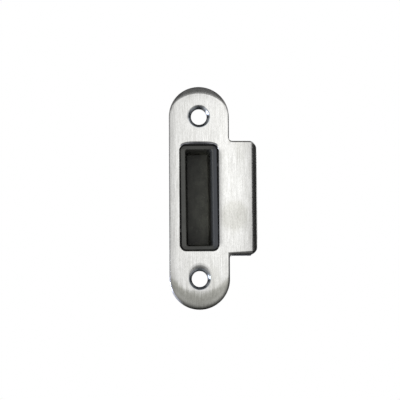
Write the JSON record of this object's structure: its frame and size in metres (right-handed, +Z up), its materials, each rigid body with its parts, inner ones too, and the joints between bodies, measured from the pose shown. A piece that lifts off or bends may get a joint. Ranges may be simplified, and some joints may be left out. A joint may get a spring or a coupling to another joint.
{
  "type": "door strike plate",
  "caption": "Brushed steel door strike plate with round ends, countersunk screw holes, a side tab with a bent-back lip, and a dark moulded plastic latch pocket set in its opening",
  "frame": {"origin": "half way between the screw holes, on the back face of the plate, which lies on the door frame", "axes": "X across the plate towards the lip, Y back into the door frame, Z up along the plate"},
  "size_m": [0.0326, 0.0131, 0.0816],
  "materials": {
    "brushed_plate": "satin, brushed along its length",
    "pocket_plastic": "matte, as moulded"
  },
  "bodies": {
    "root": {"strike_plate": "brushed_plate", "latch_pocket": "pocket_plastic"}
  },
  "joints": []
}
